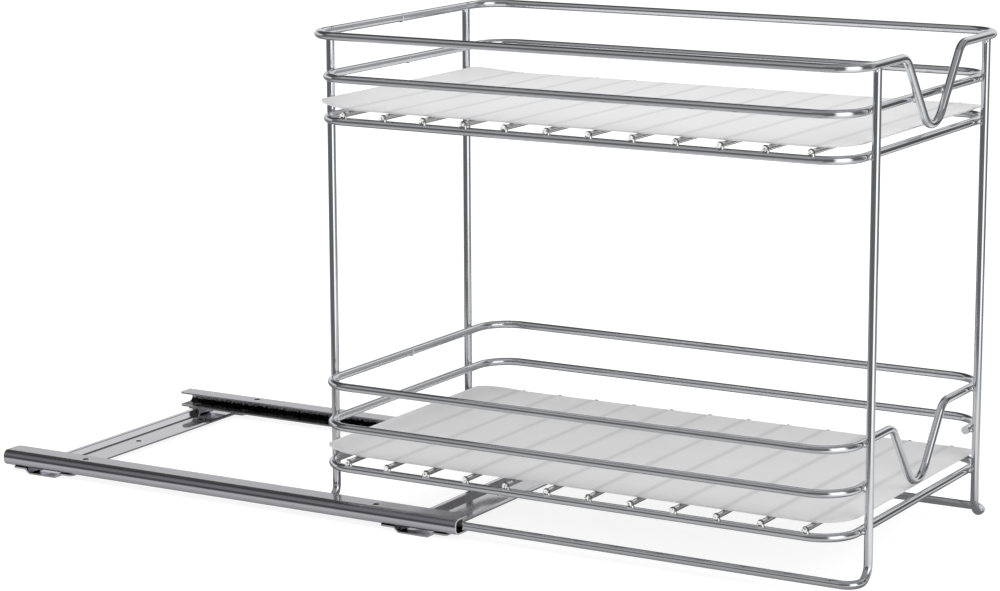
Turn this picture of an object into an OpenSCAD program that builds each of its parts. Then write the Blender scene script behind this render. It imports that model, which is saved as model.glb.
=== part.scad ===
// Two-tier pull-out wire basket on a screw-down base frame.
// Origin: on the cabinet floor, at the centre of the base frame's screw holes.
// +Z is up, the basket pulls out towards -Y, and left is -X as seen from the front.
// The basket is drawn pulled out to its stop. All lengths are in millimetres.

/* [Basket] */
// Overall width of the wire rings
basket_w = 260; // [230:1:320]
// Overall depth over the front and rear uprights
basket_d = 437.5; // [400:0.5:520]
// Diameter of the frame wire
wire_d = 6; // [5:0.1:6.4]
// Diameter of the cross wires
cross_d = 4; // [3:0.1:5]
// Cross wires under each liner
cross_count = 12; // [8:1:14]
// Bend radius of the ring corners, at the wire's centre
corner_r = 26; // [18:1:34]
// Bend radius of the upper rim's corners, at the wire's centre
rim_corner_r = 24; // [18:1:30]
// Distance from the end of a corner bend to the centre of the upright beside it
upright_offset = 5.7; // [4:0.1:12]
// How far a cross wire runs past the centre of the ring below it
cross_overrun = 2.5; // [1:0.1:3]

/* [Tiers] */
// Height of the lower base ring above the runner wire
lower_tier_rise = 33.1; // [28:0.1:50]
// Height from the lower base ring to the upper base ring
tier_pitch = 256.5; // [200:0.5:300]
// Height of a mid rail above its base ring
mid_rise = 30.5; // [24:0.5:36]
// Height of a top rim above its base ring
rim_rise = 61; // [52:0.5:80]
// Length of the lower mid rail's free ends past the front uprights
stub_len = 6.8; // [5:0.1:12]

/* [Pull notches] */
// Depth at which the lines of the upper notch's legs would cross
upper_notch_depth = 64; // [52:0.5:66]
// Depth at which the lines of the lower notch's legs would cross
lower_notch_depth = 60; // [48:0.5:61]
// Length of each leg's line that the bottom bend takes up
notch_bend_run = 26; // [18:0.5:28]
// Bend radius at the shoulders of a notch
shoulder_r = 15; // [8:0.5:20]

/* [Side frames] */
// Sideways reach of each foot, from the upright out to the runner
foot_reach = 21.7; // [18:0.1:30]
// Bend radius at the feet, at the wire's centre
foot_r = 10.5; // [8:0.1:10.6]
// How far an upright's coped end laps up beside the rim wire
cope_lap = 1.2; // [0.4:0.1:2]

/* [Rails] */
// How far each end of a rail stops short of the basket's overall depth
rail_end_inset = 10.25; // [8:0.25:24]
// Width of a rail's flanges
rail_w = 19.5; // [18:0.1:24]
// Height of a rail
rail_h = 12; // [11:0.1:16]
// Thickness of the rail and brace sheet
sheet_t = 1.2; // [0.8:0.1:1.5]
// Outside bend radius of the rail's two folded edges
rail_bend_r = 5; // [3:0.1:5.4]
// Radius of the corners at the ends of a rail's flanges
flange_corner_r = 4; // [2:0.5:7]
// Distance from the runner wire's centre to the rail's outer face
runner_to_web = 9; // [8:0.1:12]
// Distance from the rail's end to its screw hole
rail_hole_inset = 74; // [66:1:100]
// Diameter of all screw holes
screw_d = 5; // [3:0.1:5.5]

/* [Braces] */
// Distance from the rail's end to the middle of a brace
brace_inset = 37; // [32:1:45]
// Overall height of a formed brace
brace_h = 4.5; // [3.6:0.1:6]
// Width of a brace over its flanges
brace_w = 41; // [38:0.5:44]
// Width of the pressed pan at its mouth
pan_mouth_w = 33; // [28:0.5:34]
// Width of the pan's flat floor
pan_floor_w = 25; // [18:0.5:26]
// Bend radius of the pan's folds, at the middle of the sheet
pan_fold_r = 1.5; // [0.9:0.1:2]
// Distance between the two rivets at each end of a brace
rivet_pitch = 48.6; // [47:0.1:54]
// Diameter of a rivet's head
rivet_head_d = 7; // [6:0.1:8]
// Height of a rivet's head
rivet_head_h = 1.8; // [1.2:0.1:2.2]
// Diameter of a rivet's shank
rivet_shank_d = 4; // [3:0.1:4.2]
// Distance from the middle of a brace out to its outer screw holes
brace_hole_x = 86; // [50:1:90]
// How far a brace's ends stop short of the rails' outer faces
brace_end_inset = 1; // [0.5:0.1:3]

/* [Slides] */
// Length of the nylon guides in the fronts of the rails
guide_l = 45; // [30:1:55]
// Length of the nylon sliders on the rears of the runners
slider_l = 60; // [40:1:62]
// How far a guide sits back from the rail's front end
guide_setback = 5; // [2:0.5:10]
// Running gap between a runner wire and its guide
guide_gap = 0.35; // [0.2:0.05:0.5]
// Running gap between a slider and its rail
slider_gap = 0.4; // [0.3:0.05:0.6]
// Gap left between a slider and its guide at full pull-out
stop_gap = 0.5; // [0.3:0.1:2]
// Distance from a slider's rear end to the start of the foot's bend
slider_setback = 1.25; // [0.5:0.25:6]

/* [Liners] */
// Thickness of a liner sheet
liner_t = 1.2; // [0.8:0.1:2]
// Gap between a liner's side edges and the wires beside them
liner_side_gap = 4.5; // [3.5:0.1:10]
// Gap between a liner's front edge and the uprights
liner_front_gap = 6.5; // [6.25:0.25:10]
// Gap between a liner's rear edge and the uprights
liner_rear_gap = 1.75; // [1:0.25:10]
// Radius of a liner's left front and right rear corners
liner_round_r = 28; // [10:1:50]
// Radius of a liner's right front and left rear corners
liner_sharp_r = 8; // [4:1:20]
// Radius to which a liner's rear edge curls up
curl_r = 130; // [60:5:200]
// How high a liner's rear edge curls above its flat
curl_rise = 5; // [2:0.5:8]
// How far the lower liner lies to the right of centre
lower_liner_shift = 2; // [-3:0.5:3]
// How far the upper liner lies to the right of centre
upper_liner_shift = -1; // [-3:0.5:3]

/* [Hidden] */
$fn = 48;
// Clearance between pieces that are fixed together but not fused
fit_gap = 0.02;
// Gap under each loose liner
rest_gap = 0.4;
// Extra length of every cutter past the face that it cuts
cut = 1;
// Segments of the large circles that a liner's curl is cut from
curl_fn = 240;

// Angle turned by each facet of a fold
fold_step = 7.5;
// The legs of a notch drop 4 for every 3 across
leg_drop = 4 / 3;
leg_run = 1 / leg_drop;
notch_r = notch_bend_run * leg_run;

wire_r = wire_d / 2;
ring_hx = basket_w / 2 - wire_r;
upright_hy = basket_d / 2 - wire_r;
ring_hy = upright_hy - wire_d;
upright_x = ring_hx - corner_r - upright_offset;
runner_x = upright_x + foot_reach;

// Heights above the cabinet floor
rail_z = brace_h;
runner_z = rail_z + rail_h / 2;
lower_z = runner_z + lower_tier_rise;
upper_z = lower_z + tier_pitch;

rail_l = basket_d - 2 * rail_end_inset;
rail_outer_x = runner_x + runner_to_web;
rail_inner_x = rail_outer_x - rail_w;
rail_floor_z = rail_z + sheet_t;
channel_h = rail_h - 2 * sheet_t;
brace_y = rail_l / 2 - brace_inset;
rail_hole_y = rail_l / 2 - rail_hole_inset;
rail_mid_x = (rail_outer_x + rail_inner_x) / 2;
brace_hx = rail_outer_x - brace_end_inset;
rivet_tail_h = 0.8;
rivet_tail_d = rivet_shank_d + 2 * rivet_tail_h;
ear_margin = 1;
ear_w = rivet_pitch + rivet_head_d + 2 * ear_margin;
ear_r = 3;
pan_open_w = pan_mouth_w + sheet_t;

guide_front_y = -rail_l / 2 + guide_setback;
guide_mouth = 1.2;
slider_front_y = guide_front_y + guide_l + stop_gap;
block_edge_gap = 1;

// The basket is centred on the rails when it is pushed in, so this is how far it pulls out
travel = upright_hy - foot_r - slider_setback - slider_l - slider_front_y;

liner_hx = ring_hx - wire_r - liner_side_gap;
liner_front_y = -(upright_hy - wire_r - liner_front_gap);
liner_rear_y = upright_hy - wire_r - liner_rear_gap;

FRAME_NODES = [
    "left_rail", "right_rail", "front_brace", "rear_brace", "brace_rivets",
    "left_guide", "right_guide", "left_side_frame", "right_side_frame",
    "left_slider", "right_slider", "lower_base_ring", "lower_mid_rail",
    "lower_top_rim", "upper_base_ring", "upper_mid_rail", "upper_top_rim",
    "lower_liner", "upper_liner"
];
function cross_node(tier, i) = str(tier, "_cross_wire_", i < 10 ? "0" : "", i);
CROSS_NODES = [
    for (tier = ["lower", "upper"])
        for (i = [1 : cross_count]) cross_node(tier, i)
];

// ---------- bent wire ----------

function unit(v) = v / norm(v);

// A wire's path is a list of corners, each a point with its bend radius
function corner_at(path, i) = path[(i + len(path)) % len(path)][0];
function arm(path, i, step) = unit(corner_at(path, i + step) - corner_at(path, i));
function turn_at(path, i) = 180 - acos(arm(path, i, -1) * arm(path, i, 1));
function tangent_at(path, i) = path[i][1] == 0 ? 0 : path[i][1] * tan(turn_at(path, i) / 2);
function leave(path, i) = corner_at(path, i) + arm(path, i, 1) * tangent_at(path, i);
function reach(path, i) = corner_at(path, i) + arm(path, i, -1) * tangent_at(path, i);

// Straight round rod from one point to another
module rod(from, to, d) {
    run = to - from;
    translate(from)
        rotate([0, acos(run.z / norm(run)), atan2(run.y, run.x)])
            cylinder(d = d, h = norm(run));
}

// The bend at one corner of a wire's path: the part of a ring that its two arms bound
module wire_bend(path, i, d) {
    r = path[i][1];
    turn = turn_at(path, i);
    back = arm(path, i, -1);
    centre = corner_at(path, i) + unit(back + arm(path, i, 1)) * r / cos(turn / 2);
    ex = unit(reach(path, i) - centre);
    ey = -back;
    ez = cross(ex, ey);
    far = 4 * r;
    multmatrix([
        [ex.x, ey.x, ez.x, centre.x],
        [ex.y, ey.y, ez.y, centre.y],
        [ex.z, ey.z, ez.z, centre.z],
        [0, 0, 0, 1]
    ])
        intersection() {
            rotate_extrude() translate([r, 0]) circle(d = d);
            linear_extrude(2 * d, center = true)
                polygon(far * [[0, 0], [1, 0], [1, tan(turn / 2)], [cos(turn), sin(turn)]]);
        }
}

// Wire with two free ends
module bent_wire(path, d) {
    last = len(path) - 1;
    for (i = [0 : last - 1]) rod(leave(path, i), reach(path, i + 1), d);
    for (i = [1 : last - 1]) wire_bend(path, i, d);
}

// Wire welded into a closed ring
module wire_ring(path, d) {
    last = len(path) - 1;
    for (i = [0 : last]) rod(leave(path, i), reach(path, (i + 1) % len(path)), d);
    for (i = [0 : last]) wire_bend(path, i, d);
}

// Corners of a level ring, anticlockwise from its front left
function ring_path(hy, z, r) = [
    [[-ring_hx, -hy, z], r],
    [[ring_hx, -hy, z], r],
    [[ring_hx, hy, z], r],
    [[-ring_hx, hy, z], r]
];

// The same ring with a pull notch let into its front
function notched_path(hy, z, r, depth) = concat(
    [[[-ring_hx, -hy, z], r]],
    [
        [[-depth * leg_run, -hy, z], shoulder_r],
        [[0, -hy, z - depth], notch_r],
        [[depth * leg_run, -hy, z], shoulder_r]
    ],
    [for (i = [1 : 3]) ring_path(hy, z, r)[i]]
);

// ---------- folded sheet ----------

function left_of(v) = [-v.y, v.x, 0];
function flat(v) = [v.x, v.y];
function heading(angle) = [cos(angle), sin(angle)];

// Edge of a fold on one side of the strip: +1 is the left of its path, -1 the right
function fold_edge(path, i, side, t) =
    let (
        turn = turn_at(path, i),
        hand = sign(cross(-arm(path, i, -1), arm(path, i, 1)).z),
        centre = reach(path, i) + hand * path[i][1] * left_of(-arm(path, i, -1)),
        from = reach(path, i) - centre,
        r = path[i][1] - hand * side * t / 2,
        start = atan2(from.y, from.x),
        steps = ceil(turn / fold_step)
    )
    [for (k = [0 : steps]) flat(centre) + r * heading(start + hand * turn * k / steps)];

// One whole edge of the strip, from its first point to its last
function strip_edge(path, side, t) =
    let (last = len(path) - 1, half = side * t / 2)
    concat(
        [flat(path[0][0] + half * left_of(arm(path, 0, 1)))],
        [for (i = [1 : last - 1]) each fold_edge(path, i, side, t)],
        [flat(path[last][0] - half * left_of(arm(path, last, -1)))]
    );

function reversed(list) = [for (i = [len(list) - 1 : -1 : 0]) list[i]];

// Sheet of thickness t drawn edge-on along a path of folds
module folded_strip(path, t) {
    polygon(concat(strip_edge(path, 1, t), reversed(strip_edge(path, -1, t))));
}

// Rectangle with rounded corners, between two opposite corners
module rounded_plate(low, high, r) {
    translate([low.x + r, low.y]) square([high.x - low.x - 2 * r, high.y - low.y]);
    translate([low.x, low.y + r]) square([high.x - low.x, high.y - low.y - 2 * r]);
    for (x = [low.x + r, high.x - r], y = [low.y + r, high.y - r])
        translate([x, y]) circle(r = r);
}

// Sections are drawn with X across and Y up, then stood along Y or along X
module along_y(from, to) {
    translate([0, to, 0]) rotate([90, 0, 0]) linear_extrude(to - from) children();
}

module along_x(from, to) {
    translate([from, 0, 0]) rotate([90, 0, 90]) linear_extrude(to - from) children();
}

// A piece modelled for the left side, put on either side
module on_side(side) {
    mirror([side > 0 ? 1 : 0, 0, 0]) children();
}

// Places of the rivets on the left side
module at_rivets() {
    for (y = [-brace_y, brace_y], half = [-1, 1])
        translate([-rail_mid_x, y + half * rivet_pitch / 2, 0]) children();
}

// ---------- base frame ----------

function rail_section_path() = [
    [[-rail_inner_x, rail_z + sheet_t / 2, 0], 0],
    [[-rail_outer_x + sheet_t / 2, rail_z + sheet_t / 2, 0], rail_bend_r - sheet_t / 2],
    [[-rail_outer_x + sheet_t / 2, rail_z + rail_h - sheet_t / 2, 0], rail_bend_r - sheet_t / 2],
    [[-rail_inner_x, rail_z + rail_h - sheet_t / 2, 0], 0]
];

// What is cut off the flanges' corners at one end of a rail, seen from above
module flange_corner(end) {
    corner_y = end * rail_l / 2 - (end < 0 ? cut : flange_corner_r);
    difference() {
        translate([-rail_inner_x - flange_corner_r, corner_y]) square(flange_corner_r + cut);
        translate([-rail_inner_x - flange_corner_r, end * (rail_l / 2 - flange_corner_r)])
            circle(r = flange_corner_r);
    }
}

// C-section rail, open towards the basket
module rail(side) {
    color("lightsteelblue")
        on_side(side)
            difference() {
                along_y(-rail_l / 2, rail_l / 2) folded_strip(rail_section_path(), sheet_t);
                for (end = [-1, 1])
                    translate([0, 0, rail_z - cut]) linear_extrude(rail_h + 2 * cut) flange_corner(end);
                for (y = [-rail_hole_y, rail_hole_y])
                    translate([-rail_mid_x, y, rail_z - cut]) cylinder(d = screw_d, h = rail_h + 2 * cut);
                at_rivets() {
                    translate([0, 0, rail_z - cut]) cylinder(d = rivet_shank_d, h = sheet_t + 2 * cut);
                    translate([0, 0, rail_floor_z - rivet_tail_h])
                        cylinder(d1 = rivet_shank_d, d2 = rivet_tail_d, h = rivet_tail_h);
                }
            }
}

function brace_section_path() = [
    [[-brace_w / 2, brace_h - sheet_t / 2, 0], 0],
    [[-pan_mouth_w / 2, brace_h - sheet_t / 2, 0], pan_fold_r],
    [[-pan_floor_w / 2, sheet_t / 2, 0], pan_fold_r],
    [[pan_floor_w / 2, sheet_t / 2, 0], pan_fold_r],
    [[pan_mouth_w / 2, brace_h - sheet_t / 2, 0], pan_fold_r],
    [[brace_w / 2, brace_h - sheet_t / 2, 0], 0]
];

// Ears that widen the brace's flanges under one rail
module brace_ears() {
    translate([0, 0, brace_h - sheet_t])
        linear_extrude(sheet_t)
            difference() {
                rounded_plate([-brace_hx, -ear_w / 2], [-rail_inner_x, ear_w / 2], ear_r);
                translate([-rail_outer_x, -pan_open_w / 2]) square([rail_w, pan_open_w]);
            }
}

// Pressed brace across the base: a pan between two flanges, with riveting ears
module brace(y) {
    color("silver")
        translate([0, y, 0])
            difference() {
                union() {
                    along_x(-brace_hx, brace_hx) folded_strip(brace_section_path(), sheet_t);
                    for (side = [-1, 1]) on_side(side) brace_ears();
                }
                for (x = [-rail_mid_x, rail_mid_x], half = [-1, 1])
                    translate([x, half * rivet_pitch / 2, 0]) cylinder(d = rivet_shank_d, h = brace_h + cut);
                for (x = [-brace_hole_x, 0, brace_hole_x])
                    translate([x, 0, -cut]) cylinder(d = screw_d, h = sheet_t + 2 * cut);
            }
}

// Round-headed rivet, its tail flush with the rail's floor
module rivet() {
    cap_r = (pow(rivet_head_d / 2, 2) + pow(rivet_head_h, 2)) / (2 * rivet_head_h);
    head_z = brace_h - sheet_t;
    shank_r = rivet_shank_d / 2 - fit_gap;
    intersection() {
        translate([0, 0, head_z - rivet_head_h + cap_r]) sphere(r = cap_r);
        translate([0, 0, head_z - 2 * rivet_head_h]) cylinder(d = rivet_head_d + cut, h = 2 * rivet_head_h);
    }
    translate([0, 0, head_z]) cylinder(r = shank_r, h = 2 * sheet_t);
    translate([0, 0, rail_floor_z - rivet_tail_h])
        cylinder(r1 = shank_r, r2 = rivet_tail_d / 2 - fit_gap, h = rivet_tail_h);
}

module brace_rivets() {
    color("gainsboro")
        for (side = [-1, 1]) on_side(side) at_rivets() rivet();
}

// Section of a nylon block that fills the rail with a gap all round
module block_section(gap, bore_r) {
    difference() {
        intersection() {
            rounded_plate(
                [-rail_outer_x + sheet_t + gap, rail_floor_z + gap],
                [-rail_inner_x + 2 * rail_bend_r, rail_floor_z + channel_h - gap],
                rail_bend_r - sheet_t
            );
            translate([-rail_outer_x, rail_z]) square([rail_w - block_edge_gap, rail_h]);
        }
        translate([-runner_x, runner_z]) circle(r = bore_r);
    }
}

// Guide fixed in the front of a rail, with a flared mouth for the runner
module guide(side) {
    bore_r = wire_r + guide_gap;
    color("dimgray")
        on_side(side)
            difference() {
                along_y(guide_front_y, guide_front_y + guide_l) block_section(fit_gap, bore_r);
                translate([-runner_x, guide_front_y - fit_gap, runner_z])
                    rotate([-90, 0, 0]) cylinder(r1 = bore_r + guide_mouth, r2 = bore_r, h = guide_mouth);
            }
}

// ---------- basket frame ----------

// Pieces modelled about the basket's own middle, drawn pulled out to the stop
module pulled_out() {
    translate([0, -travel, 0]) children();
}

function side_frame_path(top_z) = [
    [[-upright_x, -upright_hy, top_z], 0],
    [[-upright_x, -upright_hy, runner_z], foot_r],
    [[-runner_x, -upright_hy, runner_z], foot_r],
    [[-runner_x, upright_hy, runner_z], foot_r],
    [[-upright_x, upright_hy, runner_z], foot_r],
    [[-upright_x, upright_hy, top_z], 0]
];

// One wire that makes both uprights and the runner of a side
module side_frame(side) {
    rim_z = upper_z + rim_rise;
    color("slategray")
        pulled_out()
            on_side(side)
                difference() {
                    bent_wire(side_frame_path(rim_z - wire_r + cope_lap), wire_d);
                    for (y = [-upright_hy, upright_hy])
                        rod([-ring_hx, y, rim_z], [0, y, rim_z], wire_d + 2 * fit_gap);
                }
}

// Slider on the rear of a runner, which meets the guide at full pull-out
module slider(side) {
    color("dimgray")
        on_side(side)
            along_y(slider_front_y, slider_front_y + slider_l)
                block_section(slider_gap, wire_r + fit_gap);
}

module base_ring(z) {
    color("lightslategray") pulled_out() wire_ring(ring_path(ring_hy, z, corner_r), wire_d);
}

// Lower mid rail: a U that is open at the front, with two short turned-in ends
module lower_mid_rail() {
    z = lower_z + mid_rise;
    stub_x = upright_x - stub_len;
    color("lightslategray")
        pulled_out()
            bent_wire([
                [[-stub_x, -ring_hy, z], 0],
                [[-ring_hx, -ring_hy, z], corner_r],
                [[-ring_hx, ring_hy, z], corner_r],
                [[ring_hx, ring_hy, z], corner_r],
                [[ring_hx, -ring_hy, z], corner_r],
                [[stub_x, -ring_hy, z], 0]
            ], wire_d);
}

module lower_top_rim() {
    z = lower_z + rim_rise;
    color("lightslategray")
        pulled_out() wire_ring(notched_path(ring_hy, z, corner_r, lower_notch_depth), wire_d);
}

module upper_mid_rail() {
    base_ring(upper_z + mid_rise);
}

// Upper rim, seated on the ends of the four uprights
module upper_top_rim() {
    z = upper_z + rim_rise;
    color("lightslategray")
        pulled_out() wire_ring(notched_path(upright_hy, z, rim_corner_r, upper_notch_depth), wire_d);
}

// One cross wire, lying on a base ring
module cross_wire(ring_z, i) {
    first_y = -ring_hy + corner_r;
    pitch = 2 * (ring_hy - corner_r) / (cross_count - 1);
    hx = ring_hx + cross_overrun;
    color("lightgray")
        pulled_out()
            translate([-hx, first_y + (i - 1) * pitch, ring_z + wire_r + cross_d / 2])
                rotate([0, 90, 0]) cylinder(d = cross_d, h = 2 * hx);
}

// ---------- liners ----------

// Liner seen from the side: flat, then curled up at the rear
module liner_section(z) {
    sweep = acos(1 - curl_rise / curl_r);
    curl_y = liner_rear_y - curl_r * sin(sweep);
    reach_r = 2 * curl_r;
    translate([liner_front_y, z]) square([curl_y - liner_front_y, liner_t]);
    translate([curl_y, z + curl_r])
        intersection() {
            difference() {
                circle(r = curl_r, $fn = curl_fn);
                circle(r = curl_r - liner_t, $fn = curl_fn);
            }
            polygon([[0, 0], [0, -reach_r], reach_r * [sin(sweep), -cos(sweep)]]);
        }
}

// Sheet seen from above. Its radii run from the left front corner round to the left rear one
module liner_outline(low, high, radii) {
    corners = [low, [high.x, low.y], high, [low.x, high.y]];
    inward = [[1, 1], [-1, 1], [-1, -1], [1, -1]];
    polygon([
        for (i = [0 : 3], along = i % 2 == 0 ? [0, 1] : [1, 0])
            corners[i] + radii[i] * [inward[i].x * along, inward[i].y * (1 - along)]
    ]);
    for (i = [0 : 3])
        translate(corners[i] + radii[i] * inward[i]) circle(r = radii[i]);
}

// Loose frosted sheet lying on the cross wires
module liner(ring_z, shift) {
    z = ring_z + wire_r + cross_d + rest_gap;
    color([0.93, 0.93, 0.94, 0.8])
        pulled_out()
            translate([shift, 0, 0])
                intersection() {
                    along_x(-liner_hx, liner_hx) liner_section(z);
                    translate([0, 0, z - cut])
                        linear_extrude(liner_t + curl_rise + 2 * cut)
                            liner_outline(
                                [-liner_hx, liner_front_y],
                                [liner_hx, liner_rear_y],
                                [liner_round_r, liner_sharp_r, liner_round_r, liner_sharp_r]
                            );
                }
}

rail(-1);  // left_rail
rail(1);  // right_rail
brace(-brace_y);  // front_brace
brace(brace_y);  // rear_brace
brace_rivets();
guide(-1);  // left_guide
guide(1);  // right_guide
side_frame(-1);  // left_side_frame
side_frame(1);  // right_side_frame
slider(-1);  // left_slider
slider(1);  // right_slider
base_ring(lower_z);  // lower_base_ring
lower_mid_rail();
lower_top_rim();
base_ring(upper_z);  // upper_base_ring
upper_mid_rail();
upper_top_rim();
liner(lower_z, lower_liner_shift);  // lower_liner
liner(upper_z, upper_liner_shift);  // upper_liner
for (i = [1 : cross_count]) {
    cross_wire(lower_z, i);
    cross_wire(upper_z, i);
}
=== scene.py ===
"""Looks of a two-tier pull-out cabinet basket: plated wire, satin rails, weld beads and frosted liners.

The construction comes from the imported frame. This script adds the camera, the studio, the finishes and
the welds. Lengths are in metres and directions in degrees, unless a comment says otherwise.
"""

import math

import bpy
from mathutils import Matrix, Vector


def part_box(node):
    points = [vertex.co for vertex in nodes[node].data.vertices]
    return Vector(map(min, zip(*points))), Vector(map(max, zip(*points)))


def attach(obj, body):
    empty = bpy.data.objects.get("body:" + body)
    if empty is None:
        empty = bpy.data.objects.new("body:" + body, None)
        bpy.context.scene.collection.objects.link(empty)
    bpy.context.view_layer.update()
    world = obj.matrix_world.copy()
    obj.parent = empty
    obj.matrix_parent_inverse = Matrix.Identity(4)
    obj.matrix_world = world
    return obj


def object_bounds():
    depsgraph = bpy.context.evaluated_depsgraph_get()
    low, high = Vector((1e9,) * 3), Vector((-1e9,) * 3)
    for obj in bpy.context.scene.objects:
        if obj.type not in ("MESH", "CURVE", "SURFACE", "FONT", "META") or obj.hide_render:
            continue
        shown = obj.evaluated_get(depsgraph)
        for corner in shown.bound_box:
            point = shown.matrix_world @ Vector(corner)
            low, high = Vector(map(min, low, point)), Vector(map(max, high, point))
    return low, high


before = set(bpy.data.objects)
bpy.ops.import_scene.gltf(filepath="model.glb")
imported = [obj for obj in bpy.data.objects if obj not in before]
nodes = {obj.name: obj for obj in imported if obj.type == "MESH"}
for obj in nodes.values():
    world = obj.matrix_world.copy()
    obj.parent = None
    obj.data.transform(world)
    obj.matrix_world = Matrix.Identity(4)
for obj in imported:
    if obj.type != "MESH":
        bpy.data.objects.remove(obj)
cad_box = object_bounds()

# ---------- sizes and names ----------

MM = 0.001
X, Y, Z = (1, 0, 0), (0, 1, 0), (0, 0, 1)
TIERS = ("lower", "upper")
SIDES = ("left", "right")
OUTWARD = (-1, 1)
BODY = "basket"


def middle(node):
    """Centre of a node's box."""
    low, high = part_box(node)
    return (low + high) / 2


def size_of(node):
    """Size of a node's box."""
    low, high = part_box(node)
    return high - low


def nodes_named(part):
    """Names of the nodes that hold a word, in order."""
    return sorted(name for name in nodes if part in name)


WIRE_R = size_of("lower_base_ring").z / 2
LEG_HALF_WIDTH = 1.25 * WIRE_R  # of a notch's sloping leg, measured level
SHEET_T = 1.2 * MM
FOLD_ROUND = 6.3 * MM           # how round the light shows the rails' outer folds
SCREW_R = 2.5 * MM

# Screw holes, as x and y from the middle of the base frame, each mirrored in both
RAIL_SCREWS = [(116.25 * MM, 134.5 * MM)]
PAN_SCREWS = [(0.0, 171.5 * MM), (86 * MM, 171.5 * MM)]

RING_NODES = ["lower_base_ring", "lower_mid_rail", "lower_top_rim", "upper_base_ring", "upper_mid_rail"]
CROSS_NODES = {tier: nodes_named(tier + "_cross_wire") for tier in TIERS}

# ---------- camera ----------

IMAGE_W = 1000
SENSOR_W = 36.0
FOCAL_PX = 3073.96
EYE = Vector((-1.9501, -1.3262, 0.6107))
LOOK_AZIMUTH = 30.613
LOOK_ELEVATION = -11.342
LOOK_ROLL = -0.263


def direction_to(azimuth, elevation):
    """Unit vector towards a direction given in degrees."""
    a, e = math.radians(azimuth), math.radians(elevation)
    return Vector((math.cos(e) * math.cos(a), math.cos(e) * math.sin(a), math.sin(e)))


def add_camera():
    """Camera off the basket's left front corner, a little above it."""
    forward = direction_to(LOOK_AZIMUTH, LOOK_ELEVATION)
    roll = math.radians(LOOK_ROLL)
    level_right = forward.cross(Vector(Z)).normalized()
    level_up = level_right.cross(forward)
    right = level_right * math.cos(roll) + level_up * math.sin(roll)
    up = level_up * math.cos(roll) - level_right * math.sin(roll)
    data = bpy.data.cameras.new("camera")
    data.sensor_width = SENSOR_W
    data.lens = FOCAL_PX * SENSOR_W / IMAGE_W
    camera = bpy.data.objects.new("camera", data)
    turn = Matrix((right, up, -forward)).transposed().to_4x4()
    camera.matrix_world = Matrix.Translation(EYE) @ turn
    bpy.context.scene.collection.objects.link(camera)
    bpy.context.scene.camera = camera


# ---------- shader building ----------


def grey(level):
    """Neutral colour of a level."""
    return (level, level, level, 1)


def empty_tree(owner):
    """Node tree of a new material or world, cleared."""
    owner.use_nodes = True
    owner.node_tree.nodes.clear()
    return owner.node_tree


def wire_up(tree, socket, value):
    """Link a socket to an input, or write a plain value on it."""
    if hasattr(value, "is_linked"):
        tree.links.new(value, socket)
    else:
        socket.default_value = value


def show(tree, output_kind, shader):
    """Make a shader the surface of its material or world."""
    output = tree.nodes.new(output_kind)
    tree.links.new(shader, output.inputs["Surface"])


def object_place(tree):
    """Place on the object, in metres of the shared frame."""
    return tree.nodes.new("ShaderNodeTexCoord").outputs["Object"]


def surface_lean(tree):
    """Direction that the surface faces, without its relief."""
    return tree.nodes.new("ShaderNodeNewGeometry").outputs["Normal"]


def math_node(tree, operation, *values):
    """Math node whose inputs are sockets or numbers."""
    node = tree.nodes.new("ShaderNodeMath")
    node.operation = operation
    for socket, value in zip(node.inputs, values):
        wire_up(tree, socket, value)
    return node.outputs[0]


def product(tree, first, *others):
    """Product of several values."""
    for other in others:
        first = math_node(tree, "MULTIPLY", first, other)
    return first


def vector_node(tree, operation, a, b=None):
    """Vector math node; b is a socket or a vector."""
    node = tree.nodes.new("ShaderNodeVectorMath")
    node.operation = operation
    tree.links.new(a, node.inputs[0])
    if b is not None:
        wire_up(tree, node.inputs[1], b)
    return node.outputs["Value" if operation in ("DOT_PRODUCT", "LENGTH") else "Vector"]


def along_axis(tree, vector, axis):
    """How far a vector goes along an axis."""
    return vector_node(tree, "DOT_PRODUCT", vector, axis)


def soft_step(tree, value, start, end, low=0.0, high=1.0):
    """Level that eases from low at start to high at end."""
    node = tree.nodes.new("ShaderNodeMapRange")
    node.interpolation_type = "SMOOTHSTEP"
    for socket, given in zip(node.inputs, (value, start, end, low, high)):
        wire_up(tree, socket, given)
    return node.outputs["Result"]


def straight_step(tree, value, start, end):
    """Level that rises straight from 0 at start to 1 at end."""
    node = tree.nodes.new("ShaderNodeMapRange")
    for socket, given in zip(node.inputs, (value, start, end)):
        wire_up(tree, socket, given)
    return node.outputs["Result"]


def spread(tree, value, low, high):
    """A 0 to 1 value spread between two levels, each a socket or a number."""
    node = tree.nodes.new("ShaderNodeMapRange")
    wire_up(tree, node.inputs["Value"], value)
    wire_up(tree, node.inputs["To Min"], low)
    wire_up(tree, node.inputs["To Max"], high)
    return node.outputs["Result"]


def grey_ramp(tree, place, stops):
    """Grey level read from stops, each a position and a level."""
    node = tree.nodes.new("ShaderNodeValToRGB")
    elements = node.color_ramp.elements
    while len(elements) < len(stops):
        elements.new(0.5)
    for element, (position, level) in zip(elements, stops):
        element.position = position
        element.color = grey(level)
    tree.links.new(place, node.inputs[0])
    return node.outputs[0]


def noise(tree, place, scale, detail=2.0):
    """Noise texture read at a place; scale is a number or a socket."""
    node = tree.nodes.new("ShaderNodeTexNoise")
    node.inputs["Detail"].default_value = detail
    wire_up(tree, node.inputs["Vector"], place)
    wire_up(tree, node.inputs["Scale"], scale)
    return node.outputs["Fac"]


def mix_numbers(tree, share, a, b):
    """Number between two others; each is a socket or a number."""
    node = tree.nodes.new("ShaderNodeMix")
    for label, value in (("Factor", share), ("A", a), ("B", b)):
        wire_up(tree, node.inputs[label], value)
    return node.outputs["Result"]


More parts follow.
